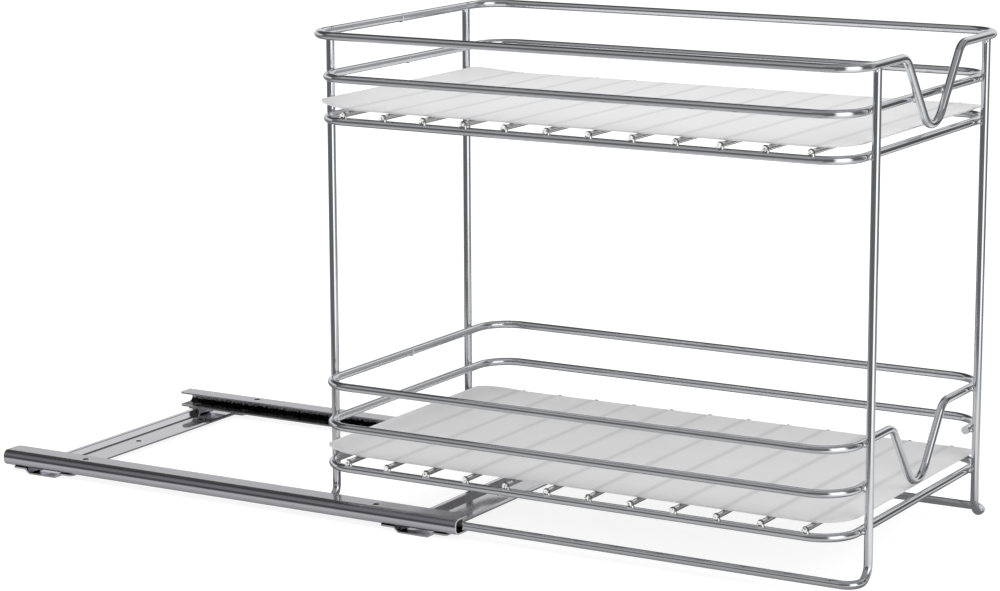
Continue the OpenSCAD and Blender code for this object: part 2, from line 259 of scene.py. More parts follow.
def mix_colours(tree, share, a, b):
    """Colour between two others; each is a socket or a colour."""
    node = tree.nodes.new("ShaderNodeMix")
    node.data_type = "RGBA"
    for label, value in (("Factor", share), ("A", a), ("B", b)):
        wire_up(tree, node.inputs[label], value)
    return node.outputs["Result"]


def mix_vectors(tree, share, a, b):
    """Unit direction between two others."""
    node = tree.nodes.new("ShaderNodeMix")
    node.data_type = "VECTOR"
    wire_up(tree, node.inputs["Factor"], share)
    ends = [socket for socket in node.inputs if socket.type == "VECTOR" and socket.name in ("A", "B")]
    for socket, value in zip(ends, (a, b)):
        wire_up(tree, socket, value)
    return vector_node(tree, "NORMALIZE", next(out for out in node.outputs if out.type == "VECTOR"))


def mix_shaders(tree, share, a, b):
    """Shader between two others."""
    node = tree.nodes.new("ShaderNodeMixShader")
    for socket, value in zip(node.inputs, (share, a, b)):
        tree.links.new(value, socket)
    return node.outputs[0]


def background(tree, colour):
    """Light of the room, of a colour."""
    node = tree.nodes.new("ShaderNodeBackground")
    wire_up(tree, node.inputs["Color"], colour)
    return node.outputs[0]


def emission(tree, level):
    """Surface that glows at a level."""
    node = tree.nodes.new("ShaderNodeEmission")
    wire_up(tree, node.inputs["Strength"], level)
    return node.outputs[0]


def add_relief(tree, shader, height, depth):
    """Fine relief on a finish."""
    relief = tree.nodes.new("ShaderNodeBump")
    relief.inputs["Strength"].default_value = 1.0
    relief.inputs["Distance"].default_value = depth
    tree.links.new(height, relief.inputs["Height"])
    tree.links.new(relief.outputs["Normal"], shader.inputs["Normal"])


# ---------- lamps and room ----------

LIGHT_TARGET = Vector((0, -0.25, 0.18))
LAMP_DISTANCE = 1.9

# Soft boxes that light the object, with the key at the right of the camera:
# name, azimuth, elevation, width and height, power
LAMPS = [
    ("key", 243, 36, 1.2, 13),
    ("fill", 128, 36, 1.2, 9),
    ("back", 18, 42, 1.2, 6),
    ("overhead", 200, 86, 1.8, 9),
]

# What the metal mirrors around it: azimuth, half width, lowest and highest elevation, softness, level
CARDS = [
    (66, 40, 24, 65, 6, 0.07),     # dark above the backdrop
    (141, 18, 24, 50, 5, 0.42),    # narrow card, high at the left
    (44, 64, -4, 18, 5, 0.74),     # pale backdrop
    (357, 15, 12, 46, 5, 0.85),    # pale card at the far right
    (326, 17, -2, 30, 5, 0.4),     # dimmer gap beside it
    (150, 40, -62, -19, 5, 0.42),  # pale floor, far off at the left
    (296, 27, -45, -2, 5, 0.22),   # dark low wall at the right
    (338, 15, -45, -6, 5, 0.6),    # pale low wall behind that
    (247, 21, -40, 42, 9, 1.5),    # large soft box, right of the camera
]

# The rest of the mirrored room: height from 0 straight down to 1 straight up, and level
ROOM_STOPS = [(0.0, 0.3), (0.4, 0.15), (0.62, 0.13), (0.8, 0.22), (0.9, 0.36), (1.0, 0.3)]
EVEN_LIGHT = (0.5, 0.5, 0.505, 1)
WHITE = grey(1)

# Dark upright card off the right front corner
FLAG_NEAR = Vector((0.6, -1.05, 0))
FLAG_FAR = Vector((0.76, -0.77, 0))
FLAG_FOOT = Vector((0, 0, 0.06))
FLAG_HEAD = Vector((0, 0, 0.5))
FLAG_LEVEL = 0.1


def add_lamp(name, azimuth, elevation, size, power):
    """Soft box that lights the object from a direction, unseen by the metal."""
    towards = direction_to(azimuth, elevation)
    data = bpy.data.lights.new(name, "AREA")
    data.shape = "RECTANGLE"
    data.size = size
    data.size_y = size
    data.energy = power
    lamp = bpy.data.objects.new(name, data)
    lamp.location = LIGHT_TARGET + towards * LAMP_DISTANCE
    lamp.rotation_euler = towards.to_track_quat("Z", "Y").to_euler()
    lamp.visible_glossy = False
    bpy.context.scene.collection.objects.link(lamp)


def card_cover(tree, rise, flat, azimuth, half_width, lowest, highest, softness):
    """How far a card covers a direction, given by its rise and its level part."""
    ahead = along_axis(tree, flat, tuple(direction_to(azimuth, 0)))
    narrow, wide = (math.cos(math.radians(half_width + k * softness)) for k in (-1, 1))
    across = soft_step(tree, ahead, wide, narrow)
    foot = [math.sin(math.radians(lowest + k * softness)) for k in (-1, 1)]
    head = [math.sin(math.radians(highest + k * softness)) for k in (1, -1)]
    return product(tree, across, soft_step(tree, rise, *foot), soft_step(tree, rise, *head))


def room_level(tree, direction):
    """Grey level of the room in a direction, as the metal mirrors it."""
    rise = along_axis(tree, direction, Z)
    flat = vector_node(tree, "NORMALIZE", vector_node(tree, "MULTIPLY", direction, (1, 1, 0)))
    height = math_node(tree, "MULTIPLY_ADD", rise, 0.5, 0.5)
    level = grey_ramp(tree, height, ROOM_STOPS)
    for *card, card_level in CARDS:
        level = mix_colours(tree, card_cover(tree, rise, flat, *card), level, grey(card_level))
    return level


def add_world():
    """White behind the object, even soft light, and a room of pale and dark cards for the metal to mirror."""
    world = bpy.data.worlds.new("studio")
    bpy.context.scene.world = world
    tree = empty_tree(world)
    direction = tree.nodes.new("ShaderNodeTexCoord").outputs["Generated"]
    path = tree.nodes.new("ShaderNodeLightPath").outputs
    mirrored = background(tree, room_level(tree, direction))
    lit = mix_shaders(tree, path["Is Glossy Ray"], background(tree, EVEN_LIGHT), mirrored)
    seen = math_node(tree, "MAXIMUM", path["Is Camera Ray"], path["Is Transmission Ray"])
    show(tree, "ShaderNodeOutputWorld", mix_shaders(tree, seen, lit, background(tree, WHITE)))


def add_flag():
    """Dark upright card, seen by the metal only."""
    mesh = bpy.data.meshes.new("flag")
    corners = [FLAG_NEAR + FLAG_FOOT, FLAG_FAR + FLAG_FOOT, FLAG_FAR + FLAG_HEAD, FLAG_NEAR + FLAG_HEAD]
    mesh.from_pydata(corners, [], [(0, 1, 2, 3)])
    material = bpy.data.materials.new("flag_cloth")
    tree = empty_tree(material)
    show(tree, "ShaderNodeOutputMaterial", emission(tree, FLAG_LEVEL))
    mesh.materials.append(material)
    flag = bpy.data.objects.new("flag", mesh)
    bpy.context.scene.collection.objects.link(flag)
    flag.visible_camera = False
    flag.visible_diffuse = False
    flag.visible_shadow = False
    flag.visible_transmission = False


# ---------- floor ----------

FLOOR_HALF = 6.0
FOOTPRINT_CENTRE = (0, (cad_box[0][1] + cad_box[1][1]) / 2, 0)

# Oval of floor that the metal mirrors: its half sizes, and the shares of them between which it fades
OVAL_X = 0.36
OVAL_Y = 0.85
OVAL_FADE = (1.5, 0.8)

# The floor's level as the metal mirrors it changes at soft edges, in metres to the right of the middle or
# behind it. Under the object and left of it, the level changes at BESIDE_EDGE.
BESIDE_EDGE = (-0.15, -0.1)
BESIDE_LEVELS = (0.52, 0.2)

# In front of the object, from BEFORE_START on, it changes at BEFORE_EDGE.
BEFORE_START = (-0.37, -0.45)
BEFORE_EDGE = (-0.1, 0.1)
BEFORE_LEVELS = (0.95, 0.6)

# Two more patches lie over that, each by its sides, its ends and its level.
WING_SIDES = ((0.12, 0.2), (1.4, 1.1))
WING_ENDS = ((-0.4, -0.32),)
WING_LEVEL = 0.3
APRON_SIDES = ((0.12, 0.25), (0.8, 0.6))
APRON_ENDS = ((-0.36, -0.4), (-0.6, -0.5))
APRON_LEVEL = 0.85

# The floor seen is a grey that takes the shadow, plus a glow that grows with the distance from the object.
# The floor that throws light back at the object is paler.
SEEN_FLOOR = grey(0.32)
BOUNCING_FLOOR = grey(0.82)
GLOW_REACH = (0.8, 4.0)  # in half sizes of the oval
GLOW_LEVELS = (0.86, 1.0)


def patch_cover(tree, side, behind, sides, ends):
    """How far a patch between soft edges covers the floor."""
    across = [soft_step(tree, side, *edge) for edge in sides]
    along = [soft_step(tree, behind, *edge) for edge in ends]
    return product(tree, *across, *along)


def mirrored_floor(tree, side, behind, reach):
    """Floor as the metal mirrors it: near the object only, and the room further off."""
    beside = soft_step(tree, side, *BESIDE_EDGE, *BESIDE_LEVELS)
    before = soft_step(tree, side, *BEFORE_EDGE, *BEFORE_LEVELS)
    level = mix_numbers(tree, soft_step(tree, behind, *BEFORE_START), beside, before)
    wing = patch_cover(tree, side, behind, WING_SIDES, WING_ENDS)
    apron = patch_cover(tree, side, behind, APRON_SIDES, APRON_ENDS)
    level = mix_numbers(tree, apron, mix_numbers(tree, wing, level, WING_LEVEL), APRON_LEVEL)
    oval = soft_step(tree, reach, *OVAL_FADE)
    solid = math_node(tree, "MAXIMUM", math_node(tree, "MAXIMUM", wing, apron), oval)
    clear = tree.nodes.new("ShaderNodeBsdfTransparent").outputs[0]
    return mix_shaders(tree, solid, clear, emission(tree, level))


def floor_finish():
    """White floor with a faint shadow."""
    material = bpy.data.materials.new("pale_floor")
    tree = empty_tree(material)
    path = tree.nodes.new("ShaderNodeLightPath").outputs
    from_centre = vector_node(tree, "SUBTRACT", object_place(tree), FOOTPRINT_CENTRE)
    shrunk = vector_node(tree, "MULTIPLY", from_centre, (1 / OVAL_X, 1 / OVAL_Y, 0))
    reach = vector_node(tree, "LENGTH", shrunk)
    side = along_axis(tree, from_centre, X)
    behind = along_axis(tree, from_centre, Y)
    matt = tree.nodes.new("ShaderNodeBsdfDiffuse")
    colour = mix_colours(tree, path["Is Camera Ray"], BOUNCING_FLOOR, SEEN_FLOOR)
    tree.links.new(colour, matt.inputs["Color"])
    glow = soft_step(tree, reach, *GLOW_REACH, *GLOW_LEVELS)
    pale = tree.nodes.new("ShaderNodeAddShader")
    tree.links.new(matt.outputs[0], pale.inputs[0])
    tree.links.new(emission(tree, product(tree, path["Is Camera Ray"], glow)), pale.inputs[1])
    mirrored = mirrored_floor(tree, side, behind, reach)
    show(tree, "ShaderNodeOutputMaterial",
         mix_shaders(tree, path["Is Glossy Ray"], pale.outputs[0], mirrored))
    return material


def add_floor():
    """Large level floor under the base frame."""
    mesh = bpy.data.meshes.new("floor")
    corners = [(x * FLOOR_HALF, y * FLOOR_HALF, 0) for x, y in ((-1, -1), (1, -1), (1, 1), (-1, 1))]
    mesh.from_pydata(corners, [], [(0, 1, 2, 3)])
    floor = bpy.data.objects.new("floor", mesh)
    floor.data.materials.append(floor_finish())
    bpy.context.scene.collection.objects.link(floor)


def add_studio():
    """Soft boxes, the room, the floor and the flag."""
    for lamp in LAMPS:
        add_lamp(*lamp)
    add_world()
    add_floor()
    add_flag()


# ---------- metal finishes ----------

# Tone of rolled sheet: the cloud's noise scale, and the shares of its lines and its cloud
SHEET_CLOUD = 25.0
LINES_SHARE = 0.6
CLOUD_SHARE = 0.4

# Soft edges outside a screw hole's radius: of the painted highlight ring, and of the painted shade in the
# bore
HIGHLIGHT_RING_EDGE = (1.1 * MM, 0.8 * MM)
BORE_SHADE_EDGE = (0.25 * MM, 0.1 * MM)
PAINTED_HOLE_HIGHLIGHT = grey(0.97)
PAINTED_BORE_SHADE = grey(0.02)

# Sheared end of a cross wire: how squarely a surface faces along x to be one, the noise of its torn patches,
# their colour, and its bare steel painted white as a highlight
SHEARED = (0.6, 0.9)
TORN_SCALE = 800.0
TORN_EDGE = (0.36, 0.46)
TORN = grey(0.12)
BARE_SHEAR_AND_HIGHLIGHT = (1.0, 1.0, 0.99, 1)

# Soft edges of a rail's channel: past its web, past its ceiling and floor, and past its lips; and how much
# a surface may face outwards and still be inside
WEB_EDGE = (0.6 * MM, 0.2 * MM)
CEILING_EDGE = (0.3 * MM, 0.1 * MM)
LIP_EDGE = (0.5 * MM, 3 * MM)
FACING_EDGE = (0.2, 0.05)

# Painted shade covers the channel's lower part, up to an edge that wanders by a noise
CHANNEL_SHADE_EDGE = (-1.2 * MM, -2.6 * MM)
SHADE_WANDER = 4 * MM
SHADE_WANDER_SCALE = 500.0
PAINTED_CHANNEL_SHADE = (0.02, 0.02, 0.022, 1)

# A speckled film covers the rest of it: its noise, its two levels and how metallic it still looks
FILM_SCALE = 900.0
FILM_EDGE = (0.4, 0.62)
FILM_DARK = grey(0.16)
FILM_PALE = grey(0.7)
FILM_METAL = 0.2

# Outside of a rail: its cut ends, its upper half, and the painted dark reflection along its fold, by the
# fold's rise
CUT_EDGE = (-0.2 * MM, -0.1 * MM)
BARE_CUT_AND_HIGHLIGHT = (0.9, 0.9, 0.91, 1)
UPPER_EDGE = (-0.6 * MM, -0.3 * MM)
FOLD_REFLECTION_START = (0.02, 0.15)
FOLD_REFLECTION_END = (1.0, 0.75)
PAINTED_FOLD_REFLECTION = (0.5, 0.5, 0.52)


def new_material(name):
    """Material with a Principled shader, returned with its tree and shader."""
    material = bpy.data.materials.new(name)
    tree = empty_tree(material)
    shader = tree.nodes.new("ShaderNodeBsdfPrincipled")
    show(tree, "ShaderNodeOutputMaterial", shader.outputs[0])
    return material, tree, shader


def new_group(name, inputs, outputs):
    """Shader node group. Inputs and outputs are names with their socket types and defaults."""
    tree = bpy.data.node_groups.new(name, "ShaderNodeTree")
    for label, kind, value in inputs:
        socket = tree.interface.new_socket(label, in_out="INPUT", socket_type=kind)
        socket.default_value = value
    for label, kind in outputs:
        tree.interface.new_socket(label, in_out="OUTPUT", socket_type=kind)
    return tree, tree.nodes.new("NodeGroupInput").outputs, tree.nodes.new("NodeGroupOutput").inputs


def plating_group():
    """Plated metal: a cloudy tone, patchy polish and fine ripple."""
    colour, number = "NodeSocketColor", "NodeSocketFloat"
    tree, given, made = new_group(
        "plating",
        [("Bright", colour, grey(0.8)), ("Dull", colour, grey(0.7)), ("Cloud Scale", number, 40.0),
         ("Polish", number, 0.1), ("Haze", number, 0.2), ("Ripple Scale", number, 600.0)],
        [("Color", colour), ("Roughness", number), ("Height", number)])
    place = object_place(tree)
    cloud = noise(tree, place, given["Cloud Scale"], detail=3.0)
    tree.links.new(mix_colours(tree, cloud, given["Dull"], given["Bright"]), made["Color"])
    patch = noise(tree, place, given["Ripple Scale"])
    tree.links.new(spread(tree, patch, given["Polish"], given["Haze"]), made["Roughness"])
    tree.links.new(patch, made["Height"])
    return tree


def grain_group():
    """Rolled sheet: long fine lines along one direction over a cloudy tone."""
    colour, number, vector = "NodeSocketColor", "NodeSocketFloat", "NodeSocketVector"
    tree, given, made = new_group(
        "sheet_grain",
        [("Bright", colour, grey(0.8)), ("Dull", colour, grey(0.7)),
         ("Line Scale", vector, (900.0, 12.0, 900.0)), ("Polish", number, 0.2), ("Haze", number, 0.35)],
        [("Color", colour), ("Roughness", number), ("Height", number)])
    place = object_place(tree)
    lines = noise(tree, vector_node(tree, "MULTIPLY", place, given["Line Scale"]), 1.0, detail=4.0)
    cloud = noise(tree, place, SHEET_CLOUD, detail=3.0)
    tone = math_node(tree, "MULTIPLY_ADD", lines, LINES_SHARE, product(tree, cloud, CLOUD_SHARE))
    tree.links.new(mix_colours(tree, tone, given["Dull"], given["Bright"]), made["Color"])
    tree.links.new(spread(tree, lines, given["Polish"], given["Haze"]), made["Roughness"])
    tree.links.new(lines, made["Height"])
    return tree


PLATING = plating_group()
GRAIN = grain_group()


def metal_finish(name, group, bump, **values):
    """Metal whose tone, polish and ripple come from a node group, given values for the group's inputs."""
    material, tree, shader = new_material(name)
    shader.inputs["Metallic"].default_value = 1.0
    effect = tree.nodes.new("ShaderNodeGroup")
    effect.node_tree = group
    for label, value in values.items():
        effect.inputs[label.replace("_", " ").title()].default_value = value
    tree.links.new(effect.outputs["Color"], shader.inputs["Base Color"])
    tree.links.new(effect.outputs["Roughness"], shader.inputs["Roughness"])
    add_relief(tree, shader, effect.outputs["Height"], bump)
    return material


def parts_of(material):
    """Tree of a metal finish, its shader and the colour that feeds it."""
    tree = material.node_tree
    shader = next(node for node in tree.nodes if node.type == "BSDF_PRINCIPLED")
    return tree, shader, shader.inputs["Base Color"].links[0].from_socket


def frame_wire_finish():
    """Bright plated wire of the rings and side frames."""
    return metal_finish("frame_wire", PLATING, bump=0.01 * MM,
                        bright=(0.8, 0.81, 0.83, 1), dull=(0.66, 0.67, 0.69, 1),
                        cloud_scale=30.0, polish=0.05, haze=0.13, ripple_scale=260.0)


def cross_wire_finish():
    """Plated wire whose sheared ends are bare, rough and painted white as a highlight."""
    material = metal_finish("cross_wire", PLATING, bump=0.01 * MM,
                            bright=grey(0.78), dull=grey(0.6),
                            cloud_scale=60.0, polish=0.07, haze=0.16, ripple_scale=400.0)
    tree, shader, plated = parts_of(material)
    facing = math_node(tree, "ABSOLUTE", along_axis(tree, surface_lean(tree), X))
    sheared = soft_step(tree, facing, *SHEARED)
    torn = soft_step(tree, noise(tree, object_place(tree), TORN_SCALE), *TORN_EDGE)
    # Sheared end: bare steel painted white as a highlight, with dark torn patches
    end_face = mix_colours(tree, torn, TORN, BARE_SHEAR_AND_HIGHLIGHT)
    tree.links.new(mix_colours(tree, sheared, plated, end_face), shader.inputs["Base Color"])
    tree.links.new(mix_numbers(tree, sheared, 1.0, 0.0), shader.inputs["Metallic"])
    return material


def burr_with_painted_shade_finish():
    """Burr round the sheared end of a wire, painted dark as shade."""
    return metal_finish("wire_burr_painted_shade", PLATING, bump=0.02 * MM,
                        bright=grey(0.3), dull=grey(0.14),
                        cloud_scale=500.0, polish=0.1, haze=0.25, ripple_scale=900.0)


def weld_finish():
    """Bright, patchy plating over a weld bead."""
    return metal_finish("weld_bead", PLATING, bump=0.05 * MM,
                        bright=(0.95, 0.95, 0.94, 1), dull=grey(0.45),
                        cloud_scale=500.0, polish=0.03, haze=0.12, ripple_scale=900.0)


def rivet_finish():
    """Duller plating of the rivets."""
    return metal_finish("rivet_head", PLATING, bump=0.02 * MM,
                        bright=grey(0.78), dull=(0.55, 0.55, 0.56, 1),
                        cloud_scale=300.0, polish=0.15, haze=0.3, ripple_scale=900.0)


def moved(edge, length):
    """Soft edge moved outwards by a length."""
    return [length + end for end in edge]


def mark_screw_holes(tree, place, sheet, screws):
    """Sheet colour with painted shade in the screw holes and a painted highlight ring round each."""
    one_quarter = vector_node(tree, "ABSOLUTE", place)
    for x, y in screws:
        from_hole = vector_node(tree, "SUBTRACT", one_quarter, (x, y, 0))
        distance = vector_node(tree, "LENGTH", vector_node(tree, "MULTIPLY", from_hole, (1, 1, 0)))
        # Painted highlight ring round the hole, and painted shade in its bore
        highlight_ring = soft_step(tree, distance, *moved(HIGHLIGHT_RING_EDGE, SCREW_R))
        bore_shade = soft_step(tree, distance, *moved(BORE_SHADE_EDGE, SCREW_R))
        sheet = mix_colours(tree, highlight_ring, sheet, PAINTED_HOLE_HIGHLIGHT)
        sheet = mix_colours(tree, bore_shade, sheet, PAINTED_BORE_SHADE)
    return sheet


def channel_cover(tree, place, lean, up):
    """Where a rail's surface is inside its channel, and where it is past its lips."""
    low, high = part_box("left_rail")
    web = -low.x - SHEET_T
    lip = -high.x
    ceiling = (high.z - low.z) / 2 - SHEET_T
    across = along_axis(tree, place, X)
    out = math_node(tree, "ABSOLUTE", across)
    before_web = soft_step(tree, out, *moved(WEB_EDGE, web))
    between_flanges = soft_step(tree, math_node(tree, "ABSOLUTE", up), *moved(CEILING_EDGE, ceiling))
    past_lip = soft_step(tree, out, *moved(LIP_EDGE, lip))
    faces_out = product(tree, along_axis(tree, lean, X), math_node(tree, "SIGN", across))
    faces_in = soft_step(tree, faces_out, *FACING_EDGE)
    return product(tree, before_web, between_flanges, past_lip, faces_in), past_lip


def soft_fold(tree, across, up, half_height):
    """Direction of a rail's rounded outer face, and its rise from 0 at the side to 1 on top."""
    rise = straight_step(tree, up, half_height - FOLD_ROUND, half_height)
    out = math_node(tree, "SQRT", math_node(tree, "SUBTRACT", 1.0, product(tree, rise, rise)))
    lean = tree.nodes.new("ShaderNodeCombineXYZ")
    tree.links.new(product(tree, out, math_node(tree, "SIGN", across)), lean.inputs["X"])
    tree.links.new(rise, lean.inputs["Z"])
    return lean.outputs[0], rise


def rail_finish():
    """Satin sheet with rounded folds and a painted dark reflection on them outside, speckled film and painted
    shade inside the channel, bare cut ends painted pale as a highlight.
    """
    material = metal_finish("rail_sheet", GRAIN, bump=0.01 * MM,
                            bright=(0.8, 0.79, 0.83, 1), dull=(0.68, 0.67, 0.71, 1),
                            line_scale=(900.0, 14.0, 900.0), polish=0.16, haze=0.28)
    tree, shader, sheet = parts_of(material)
    low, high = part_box("left_rail")
    place = object_place(tree)
    true_lean = surface_lean(tree)
    up = math_node(tree, "SUBTRACT", along_axis(tree, place, Z), (low.z + high.z) / 2)
    along = math_node(tree, "ABSOLUTE", along_axis(tree, place, Y))
    cut = soft_step(tree, along, *moved(CUT_EDGE, high.y))

    inside, past_lip = channel_cover(tree, place, true_lean, up)
    # Painted shade over the channel's lower part, up to a wandering edge
    shade_wander = math_node(tree, "MULTIPLY_ADD", noise(tree, place, SHADE_WANDER_SCALE), SHADE_WANDER, -SHADE_WANDER / 2)
    channel_shade = product(tree, inside, soft_step(tree, math_node(tree, "ADD", up, shade_wander), *CHANNEL_SHADE_EDGE))
    film = math_node(tree, "SUBTRACT", inside, channel_shade)

    lean, rise = soft_fold(tree, along_axis(tree, place, X), up, (high.z - low.z) / 2)
    plain = math_node(tree, "SUBTRACT", past_lip, math_node(tree, "MAXIMUM", cut, inside))
    outside = product(tree, plain, soft_step(tree, up, *UPPER_EDGE))
    relief = shader.inputs["Normal"].links[0].from_node
    tree.links.new(mix_vectors(tree, outside, true_lean, lean), relief.inputs["Normal"])

    # Painted dark reflection along the upper part of the rail's outer fold
    fold_reflection = product(tree, soft_step(tree, rise, *FOLD_REFLECTION_START), soft_step(tree, rise, *FOLD_REFLECTION_END))
    darkened_sheet = vector_node(tree, "MULTIPLY", sheet, PAINTED_FOLD_REFLECTION)
    sheet = mix_colours(tree, product(tree, fold_reflection, outside), sheet, darkened_sheet)
    sheet = mark_screw_holes(tree, place, sheet, RAIL_SCREWS)
    speckle = soft_step(tree, noise(tree, place, FILM_SCALE), *FILM_EDGE)
    # Painted shade in the channel's lower part, then the speckled film over the rest
    tone = mix_colours(tree, channel_shade, sheet, PAINTED_CHANNEL_SHADE)
    tone = mix_colours(tree, film, tone, mix_colours(tree, speckle, FILM_DARK, FILM_PALE))
    # Cut ends: bare sheet, painted pale as a highlight
    tree.links.new(mix_colours(tree, cut, tone, BARE_CUT_AND_HIGHLIGHT), shader.inputs["Base Color"])
    unpolished = math_node(tree, "MAXIMUM", cut, film)
    tree.links.new(mix_numbers(tree, unpolished, 1.0, FILM_METAL), shader.inputs["Metallic"])
    return material


def brace_finish():
    """Bright pressed sheet, with painted shade and highlights at its screw holes."""
    material = metal_finish("brace_sheet", GRAIN, bump=0.004 * MM,
                            bright=(0.72, 0.71, 0.74, 1), dull=(0.62, 0.61, 0.64, 1),
                            line_scale=(14.0, 900.0, 900.0), polish=0.04, haze=0.1)
    tree, shader, sheet = parts_of(material)
    tree.links.new(mark_screw_holes(tree, object_place(tree), sheet, PAN_SCREWS), shader.inputs["Base Color"])
    return material


# ---------- plastic finishes ----------

NYLON_DARK = (0.03, 0.03, 0.032, 1)
NYLON_PALE = (0.07, 0.07, 0.075, 1)
NYLON_CLOUD = 120.0
NYLON_PEEL = 2500.0
NYLON_ROUGHNESS = (0.35, 0.55)

FROST_DARK = (0.87, 0.865, 0.87, 1)
FROST_PALE = (0.91, 0.905, 0.91, 1)
FROST_OVER_WIRE = (0.73, 0.73, 0.735, 1)
FROST_CLOUD = 18.0
FROST_SPECKLE = 1800.0
FROST_ROUGHNESS = (0.28, 0.42)
FROST_COVER = (0.88, 0.93)
WIRE_SHADE = 4.5 * MM  # how far the shade of a cross wire reaches in a liner


def nylon_finish():
    """Dark moulded nylon with a faint orange-peel."""
    material, tree, shader = new_material("nylon_block")
    place = object_place(tree)
    cloud = noise(tree, place, NYLON_CLOUD, detail=3.0)
    tree.links.new(mix_colours(tree, cloud, NYLON_DARK, NYLON_PALE), shader.inputs["Base Color"])
    tree.links.new(spread(tree, cloud, *NYLON_ROUGHNESS), shader.inputs["Roughness"])
    add_relief(tree, shader, noise(tree, place, NYLON_PEEL), 0.05 * MM)
    return material


def liner_finish(tier):
    """Frosted sheet, shaded a little along each cross wire that it lies on."""
    material, tree, shader = new_material(tier + "_frost")
    wires = [middle(name).y for name in CROSS_NODES[tier]]
    pitch = wires[1] - wires[0]
    place = object_place(tree)
    from_first = math_node(tree, "SUBTRACT", along_axis(tree, place, Y), wires[0])
    to_wire = math_node(tree, "ABSOLUTE", math_node(tree, "WRAP", from_first, pitch / 2, -pitch / 2))
    shade = soft_step(tree, to_wire, WIRE_SHADE, 0.0)
    cloud = noise(tree, place, FROST_CLOUD, detail=3.0)
    plain = mix_colours(tree, cloud, FROST_DARK, FROST_PALE)
    tree.links.new(mix_colours(tree, shade, plain, FROST_OVER_WIRE), shader.inputs["Base Color"])
    speckle = noise(tree, place, FROST_SPECKLE)
    tree.links.new(spread(tree, speckle, *FROST_ROUGHNESS), shader.inputs["Roughness"])
    tree.links.new(spread(tree, cloud, *FROST_COVER), shader.inputs["Alpha"])
    add_relief(tree, shader, speckle, 0.02 * MM)
    return material


def dress(names, material):
    """Give nodes one material in all their slots."""
    for name in names:
        mesh = nodes[name].data
        mesh.materials.clear()
        mesh.materials.append(material)


def dress_all():
    """Give every node its finish."""
    dress(nodes_named("side_frame") + RING_NODES + ["upper_top_rim"], frame_wire_finish())
    dress(nodes_named("cross_wire"), cross_wire_finish())
    dress(["left_rail", "right_rail"], rail_finish())
    dress(["front_brace", "rear_brace"], brace_finish())
    dress(["brace_rivets"], rivet_finish())
    dress(nodes_named("guide") + nodes_named("slider"), nylon_finish())
    for tier in TIERS:
        dress([tier + "_liner"], liner_finish(tier))


# ---------- beads ----------

LUMP_SCALE = 420.0


def bead_tree(name, material):
    """Geometry nodes that put an uneven bead on every point."""
    tree = bpy.data.node_groups.new(name, "GeometryNodeTree")
    face = tree.interface
    face.new_socket("Geometry", in_out="INPUT", socket_type="NodeSocketGeometry")
    face.new_socket("Bead Size", in_out="INPUT", socket_type="NodeSocketVector")
    face.new_socket("Variation", in_out="INPUT", socket_type="NodeSocketFloat")
    face.new_socket("Unevenness", in_out="INPUT", socket_type="NodeSocketFloat")
    face.new_socket("Seed", in_out="INPUT", socket_type="NodeSocketInt")
    face.new_socket("Geometry", in_out="OUTPUT", socket_type="NodeSocketGeometry")
    given = tree.nodes.new("NodeGroupInput").outputs
    made = tree.nodes.new("NodeGroupOutput").inputs
    link = tree.links.new

    # A ball on every point, each of its own size
    ball = tree.nodes.new("GeometryNodeMeshIcoSphere")
    ball.inputs["Radius"].default_value = 1.0
    ball.inputs["Subdivisions"].default_value = 3
    vary = tree.nodes.new("FunctionNodeRandomValue")
    vary.data_type = "FLOAT_VECTOR"
    vary.inputs["Min"].default_value = (-1, -1, -1)
    vary.inputs["Max"].default_value = (1, 1, 1)
    link(given["Seed"], vary.inputs["Seed"])
    share = tree.nodes.new("ShaderNodeVectorMath")
    share.operation = "MULTIPLY_ADD"
    share.inputs[2].default_value = (1, 1, 1)
    link(vary.outputs["Value"], share.inputs[0])
    link(given["Variation"], share.inputs[1])
    put = tree.nodes.new("GeometryNodeInstanceOnPoints")
    link(given["Geometry"], put.inputs["Points"])
    link(ball.outputs["Mesh"], put.inputs["Instance"])
    link(vector_node(tree, "MULTIPLY", share.outputs[0], given["Bead Size"]), put.inputs["Scale"])
    real = tree.nodes.new("GeometryNodeRealizeInstances")
    link(put.outputs["Instances"], real.inputs[0])

    # Lumps that push its surface in and out
    lumps = tree.nodes.new("ShaderNodeTexNoise")
    lumps.inputs["Scale"].default_value = LUMP_SCALE
    lumps.inputs["Detail"].default_value = 1.0
    centred = math_node(tree, "SUBTRACT", lumps.outputs["Fac"], 0.5)
    push = tree.nodes.new("ShaderNodeVectorMath")
    push.operation = "SCALE"
    link(tree.nodes.new("GeometryNodeInputNormal").outputs[0], push.inputs[0])
    link(product(tree, centred, given["Unevenness"]), push.inputs["Scale"])
    shift = tree.nodes.new("GeometryNodeSetPosition")
    link(real.outputs[0], shift.inputs["Geometry"])
    link(push.outputs[0], shift.inputs["Offset"])
    smooth = tree.nodes.new("GeometryNodeSetShadeSmooth")
    link(shift.outputs[0], smooth.inputs["Geometry"])
    paint = tree.nodes.new("GeometryNodeSetMaterial")
    paint.inputs["Material"].default_value = material
    link(smooth.outputs[0], paint.inputs["Geometry"])
    link(paint.outputs[0], made["Geometry"])
    return tree


def socket_id(tree, label):
    """Identifier of a tree's named input."""
    return next(item.identifier for item in tree.interface.items_tree
                if item.name == label and item.in_out == "INPUT")


def bake(piece, material):
    """Replace a piece by a plain mesh of its evaluated shape."""
    evaluated = piece.evaluated_get(bpy.context.evaluated_depsgraph_get())
    mesh = bpy.data.meshes.new_from_object(evaluated)
    piece.modifiers.clear()
    piece.data = mesh
    mesh.name = piece.name
    if not mesh.materials:
        mesh.materials.append(material)


